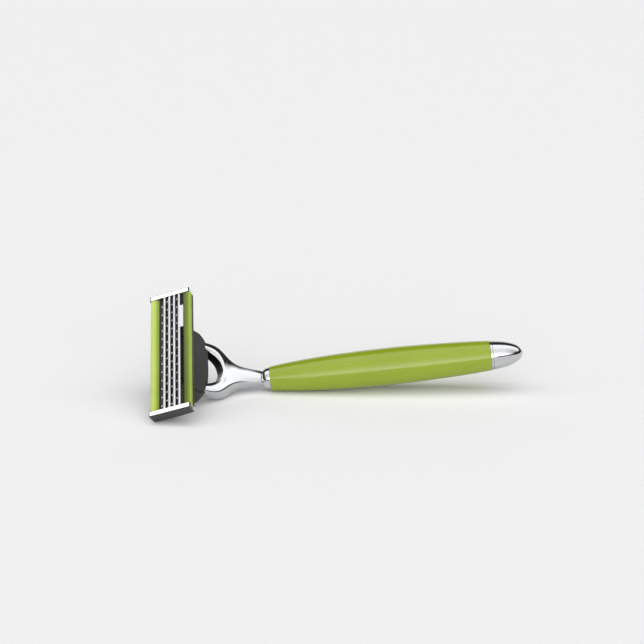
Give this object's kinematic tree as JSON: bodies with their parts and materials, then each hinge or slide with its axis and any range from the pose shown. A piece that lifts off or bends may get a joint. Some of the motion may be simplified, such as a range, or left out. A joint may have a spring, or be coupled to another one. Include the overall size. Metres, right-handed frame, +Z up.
{
  "type": "cartridge razor",
  "caption": "Razor with a pivoting cartridge of floating blades, lubricating strip and guard, on a forked chrome neck and a round tapered handle",
  "frame": {"origin": "centre of the bounding box on the table the razor lies on", "axes": "+Z up; +X along the handle's direction on the table, from the head to the tail; +Y away from the side the blades face"},
  "size_m": [0.114, 0.038, 0.0325],
  "materials": {
    "black_plastic": "satin",
    "blade_steel": "ground",
    "carrier_steel": "satin",
    "chrome_casting": "polished",
    "chrome_sheet": "polished",
    "chromed_plastic": "chrome plated",
    "gel_strip": "satin",
    "green_gloss": "gloss",
    "green_rubber": "satin",
    "grey_plastic": "satin",
    "steel": "satin",
    "white_plastic": "satin"
  },
  "bodies": {
    "handle": {"connector_base": "grey_plastic", "connector_cover": "grey_plastic", "pivot_pin_upper": "steel", "pivot_pin_lower": "steel", "plunger_spring": "steel", "button_spring_upper": "steel", "button_spring_lower": "steel", "fork_neck": "chrome_casting", "ferrule": "chrome_casting", "barrel": "green_gloss", "front_bushing": "white_plastic", "tang_washer": "steel", "tang_nut": "steel", "rear_bushing": "white_plastic", "trim_ring": "chromed_plastic", "end_cap": "chromed_plastic", "cap_plug": "white_plastic"},
    "cartridge": {"cartridge_frame": "black_plastic", "guard_bar": "green_rubber", "lubricating_strip": "gel_strip", "end_clip_upper": "chrome_sheet", "end_clip_lower": "chrome_sheet"},
    "blade_1_body": {"blade_1": "blade_steel", "blade_carrier_1": "carrier_steel"},
    "blade_2_body": {"blade_2": "blade_steel", "blade_carrier_2": "carrier_steel"},
    "blade_3_body": {"blade_3": "blade_steel", "blade_carrier_3": "carrier_steel"},
    "blade_4_body": {"blade_4": "blade_steel", "blade_carrier_4": "carrier_steel"},
    "plunger": {"return_plunger": "white_plastic"},
    "button": {"release_button": "grey_plastic"}
  },
  "joints": [
    {"name": "cartridge_pivot", "type": "hinge", "parent": "handle", "child": "cartridge", "pos_m": [-0.04554, 0.00165, 0.01446], "axis": [0.0647, -0.7902, -0.6095], "range_deg": [0, 35], "stiffness_Nm_per_rad": 0.006, "springref_deg": -20.05},
    {"name": "blade_1_float", "type": "slide", "parent": "cartridge", "child": "blade_1_body", "axis": [-0.3412, -0.5915, 0.7306], "range_m": [-0.0003, 0], "stiffness_N_per_m": 500, "springref_m": 0.0003},
    {"name": "blade_2_float", "type": "slide", "parent": "cartridge", "child": "blade_2_body", "axis": [-0.3412, -0.5915, 0.7306], "range_m": [-0.0003, 0], "stiffness_N_per_m": 500, "springref_m": 0.0003},
    {"name": "blade_3_float", "type": "slide", "parent": "cartridge", "child": "blade_3_body", "axis": [-0.3412, -0.5915, 0.7306], "range_m": [-0.0003, 0], "stiffness_N_per_m": 500, "springref_m": 0.0003},
    {"name": "blade_4_float", "type": "slide", "parent": "cartridge", "child": "blade_4_body", "axis": [-0.3412, -0.5915, 0.7306], "range_m": [-0.0003, 0], "stiffness_N_per_m": 500, "springref_m": 0.0003},
    {"name": "plunger_slide", "type": "slide", "parent": "handle", "child": "plunger", "axis": [0.8174, 0.3923, -0.4219], "range_m": [0, 0.00211], "deforming": ["plunger_spring"]},
    {"name": "button_slide", "type": "slide", "parent": "handle", "child": "button", "axis": [-0.8174, -0.3923, 0.4219], "range_m": [0, 0.002], "stiffness_N_per_m": 400, "springref_m": -0.001, "deforming": ["button_spring_upper", "button_spring_lower"]}
  ],
  "couplings": [
    {"joint": "plunger_slide", "follows": "cartridge_pivot", "m_per_rad": 0.00345}
  ]
}
